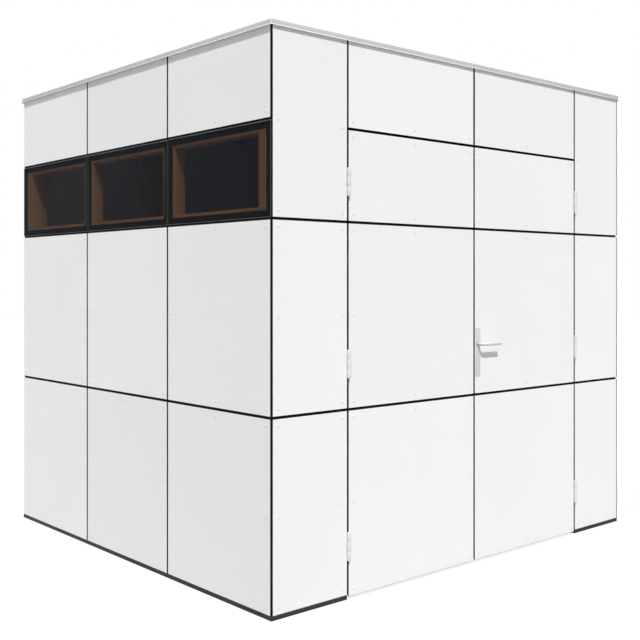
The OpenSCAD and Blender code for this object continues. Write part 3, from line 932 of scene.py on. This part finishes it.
def cap_trim_corners():
    """A rounded upright cover on the mitre at each corner of the trim, painted paler than the trim
    as a painted highlight along each corner.
    """
    face, foot = trim_shape()
    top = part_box("front_trim")[1].z
    reach = face - CORNER_RADIUS + CORNER_PROUD
    profile = [(CORNER_RADIUS, foot - CORNER_OVERLAP)]
    profile += [(share * CORNER_RADIUS, top - depth) for share, depth in CORNER_DOME]
    bm = bmesh.new()
    for side_x in (-1, 1):
        for side_y in (-1, 1):
            add_lathe(bm, Matrix.Translation((side_x * reach, side_y * reach, 0)), profile,
                      CORNER_SIDES)
    add_piece("trim_corners", bm, "shed", [TRIM_CORNER_PAINTED_HIGHLIGHT], smooth_angle=SMOOTH_METAL)


def lay_membrane():
    """Roof sheets that lap over each other, with a pressed seam at each lap."""
    low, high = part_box("roof_membrane")
    width = (high.x - low.x) / SHEET_COUNT
    bm = bmesh.new()
    for i in range(SHEET_COUNT):
        x0 = low.x + i * width - (SHEET_LAP if i else 0)
        top = high.z - SHEET_STEP * (SHEET_COUNT - 1 - i)
        add_box(bm, Vector((x0, low.y, low.z)), Vector((low.x + (i + 1) * width, high.y, top)),
                SHEET_EDGE)
    add_piece("roof_sheets", bm, "shed", [ROOF], ["roof_membrane"])


cap_trim_corners()
lay_membrane()

# ---- Stage ----

# Each sun: azimuth from the front towards the panes, height, strength and spread.
SUNS = {
    "key_sun": (math.radians(26), math.radians(49), 3.0, math.radians(2.5)),
    "side_sun": (math.radians(90), math.radians(69), 1.2, math.radians(3)),
}
SUN_COLOUR = (0.985, 1.0, 1.0)
SUN_DISTANCE = 8
FILL_OFFSET = Vector((5, 7, 3))
FILL_POWER = 260
FILL_SIZE = 6.0
WHITE_LIGHT = (1, 1, 1, 1)
SKY_COLOUR = (1.0, 0.967, 0.968, 1.0)
SKY_STRENGTH = 0.39
FLOOR_SIDE = 60
# The floor sends on less light than it shows, so that it doesn't brighten the walls.
FLOOR_LIT = (0.36, 0.36, 0.36, 1)
FLOOR_SHOWN = (0.8, 0.8, 0.8, 1)
FLOOR_WHITE_SHARE = 0.8
CAMERA_PLACE = Vector((-3.683, -4.588, 1.416))
CAMERA_TURN = math.radians(-43.42)
CAMERA_LENS = 55.5
CAMERA_SHIFT = (-0.1223, -0.0613)


def add_shader(tree, kind, **inputs):
    """The output of a new shader node with these inputs."""
    node = tree.nodes.new(kind)
    for socket, value in inputs.items():
        node.inputs[socket].default_value = value
    return node.outputs[0]


def mix_shaders(tree, factor, first, second):
    """The output of a mix of two shaders, by a share or by a value from a node."""
    mix = tree.nodes.new("ShaderNodeMixShader")
    if isinstance(factor, bpy.types.NodeSocket):
        tree.links.new(factor, mix.inputs[0])
    else:
        mix.inputs[0].default_value = factor
    tree.links.new(first, mix.inputs[1])
    tree.links.new(second, mix.inputs[2])
    return mix.outputs[0]


def seen_directly(tree):
    """1 for a ray from the camera, or one that gloss or glass sends on."""
    path = tree.nodes.new("ShaderNodeLightPath")
    total = path.outputs["Is Camera Ray"]
    for name in ("Is Glossy Ray", "Is Transmission Ray"):
        both = tree.nodes.new("ShaderNodeMath")
        both.operation = "MAXIMUM"
        tree.links.new(total, both.inputs[0])
        tree.links.new(path.outputs[name], both.inputs[1])
        total = both.outputs[0]
    return total


def set_world():
    """Soft light from all round, with a plain white background."""
    world = bpy.data.worlds.new("studio")
    world.use_nodes = True
    bpy.context.scene.world = world
    tree = world.node_tree
    tree.nodes.remove(tree.nodes["Background"])
    sky = add_shader(tree, "ShaderNodeBackground", Color=SKY_COLOUR, Strength=SKY_STRENGTH)
    backdrop = add_shader(tree, "ShaderNodeBackground", Color=WHITE_LIGHT, Strength=1.0)
    mixed = mix_shaders(tree, seen_directly(tree), sky, backdrop)
    tree.links.new(mixed, tree.nodes["World Output"].inputs["Surface"])


def floor_finish():
    """A matt floor that shows white apart from the shadow on it."""
    material = bpy.data.materials.new("studio_floor")
    material.use_nodes = True
    tree = material.node_tree
    tree.nodes.remove(tree.nodes["Principled BSDF"])
    lit = add_shader(tree, "ShaderNodeBsdfDiffuse", Color=FLOOR_LIT)
    matt = add_shader(tree, "ShaderNodeBsdfDiffuse", Color=FLOOR_SHOWN)
    white = add_shader(tree, "ShaderNodeEmission", Color=WHITE_LIGHT, Strength=1.0)
    shown = mix_shaders(tree, FLOOR_WHITE_SHARE, matt, white)
    mixed = mix_shaders(tree, seen_directly(tree), lit, shown)
    tree.links.new(mixed, tree.nodes["Material Output"].inputs["Surface"])
    return material


def lay_floor():
    bm = bmesh.new()
    bmesh.ops.create_grid(bm, x_segments=1, y_segments=1, size=FLOOR_SIDE / 2)
    mesh = bpy.data.meshes.new("studio_floor")
    bm.to_mesh(mesh)
    bm.free()
    mesh.materials.append(floor_finish())
    floor = bpy.data.objects.new("studio_floor", mesh)
    bpy.context.scene.collection.objects.link(floor)


def add_lamp(name, kind, place, aim, **settings):
    light = bpy.data.lights.new(name, kind)
    for setting, value in settings.items():
        setattr(light, setting, value)
    lamp = bpy.data.objects.new(name, light)
    lamp.location = place
    lamp.rotation_euler = (aim - place).to_track_quat("-Z", "Y").to_euler()
    bpy.context.scene.collection.objects.link(lamp)


def light_stage():
    middle = (cad_box[0] + cad_box[1]) / 2
    for name, (azimuth, height, strength, spread) in SUNS.items():
        level = math.cos(height)
        towards = Vector((-math.sin(azimuth) * level, -math.cos(azimuth) * level,
                          math.sin(height)))
        add_lamp(name, "SUN", middle + SUN_DISTANCE * towards, middle, energy=strength,
                 angle=spread, color=SUN_COLOUR)
    add_lamp("back_fill", "AREA", middle + FILL_OFFSET, middle, energy=FILL_POWER,
             size=FILL_SIZE)


def set_camera():
    lens = bpy.data.cameras.new("photo_view")
    lens.lens = CAMERA_LENS
    lens.shift_x, lens.shift_y = CAMERA_SHIFT
    camera = bpy.data.objects.new("photo_view", lens)
    camera.location = CAMERA_PLACE
    camera.rotation_euler = (math.pi / 2, 0, CAMERA_TURN)
    bpy.context.scene.collection.objects.link(camera)
    bpy.context.scene.camera = camera


set_world()
lay_floor()
light_stage()
set_camera()
bpy.context.scene.view_settings.view_transform = "Standard"
